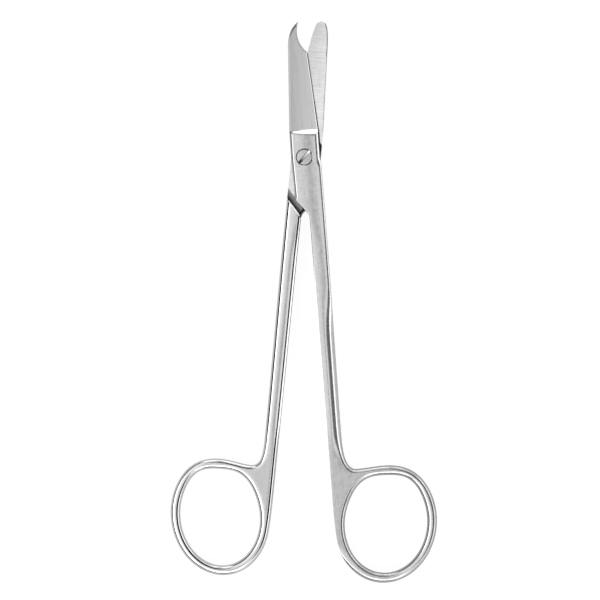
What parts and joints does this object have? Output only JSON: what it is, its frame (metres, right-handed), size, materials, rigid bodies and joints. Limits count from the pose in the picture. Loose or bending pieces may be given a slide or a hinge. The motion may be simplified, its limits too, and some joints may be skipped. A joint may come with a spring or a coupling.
{
  "type": "ligature scissors",
  "caption": "Slim surgical scissors for cutting sutures: one hooked blade with a crescent notch, one blunt round-ended blade, a screw lap joint, long shanks and oval finger rings.",
  "frame": {"origin": "where the pivot axis meets the back faces, which lie on the table", "axes": "+Z along the pivot axis, away from the table; +Y from the pivot towards the tips, midway between the blades of the half-open pose; +X towards the hooked half's finger ring"},
  "size_m": [0.0666, 0.1404, 0.0044],
  "materials": {
    "satin_steel": "fine satin ground stainless steel",
    "bright_steel": "bright ground stainless steel with fine cross grinding on the blade",
    "screw_steel": "turned stainless steel, ground flush"
  },
  "bodies": {
    "blunt_half": {"blunt_blade_half": "bright_steel", "pivot_screw": "screw_steel"},
    "hook_half": {"hook_blade_half": "satin_steel"}
  },
  "joints": [
    {"name": "pivot", "type": "hinge", "parent": "blunt_half", "child": "hook_half", "pos_m": [0, 0, 0.0022], "axis": [0, 0, 1], "range_deg": [-6.5, 120]}
  ]
}
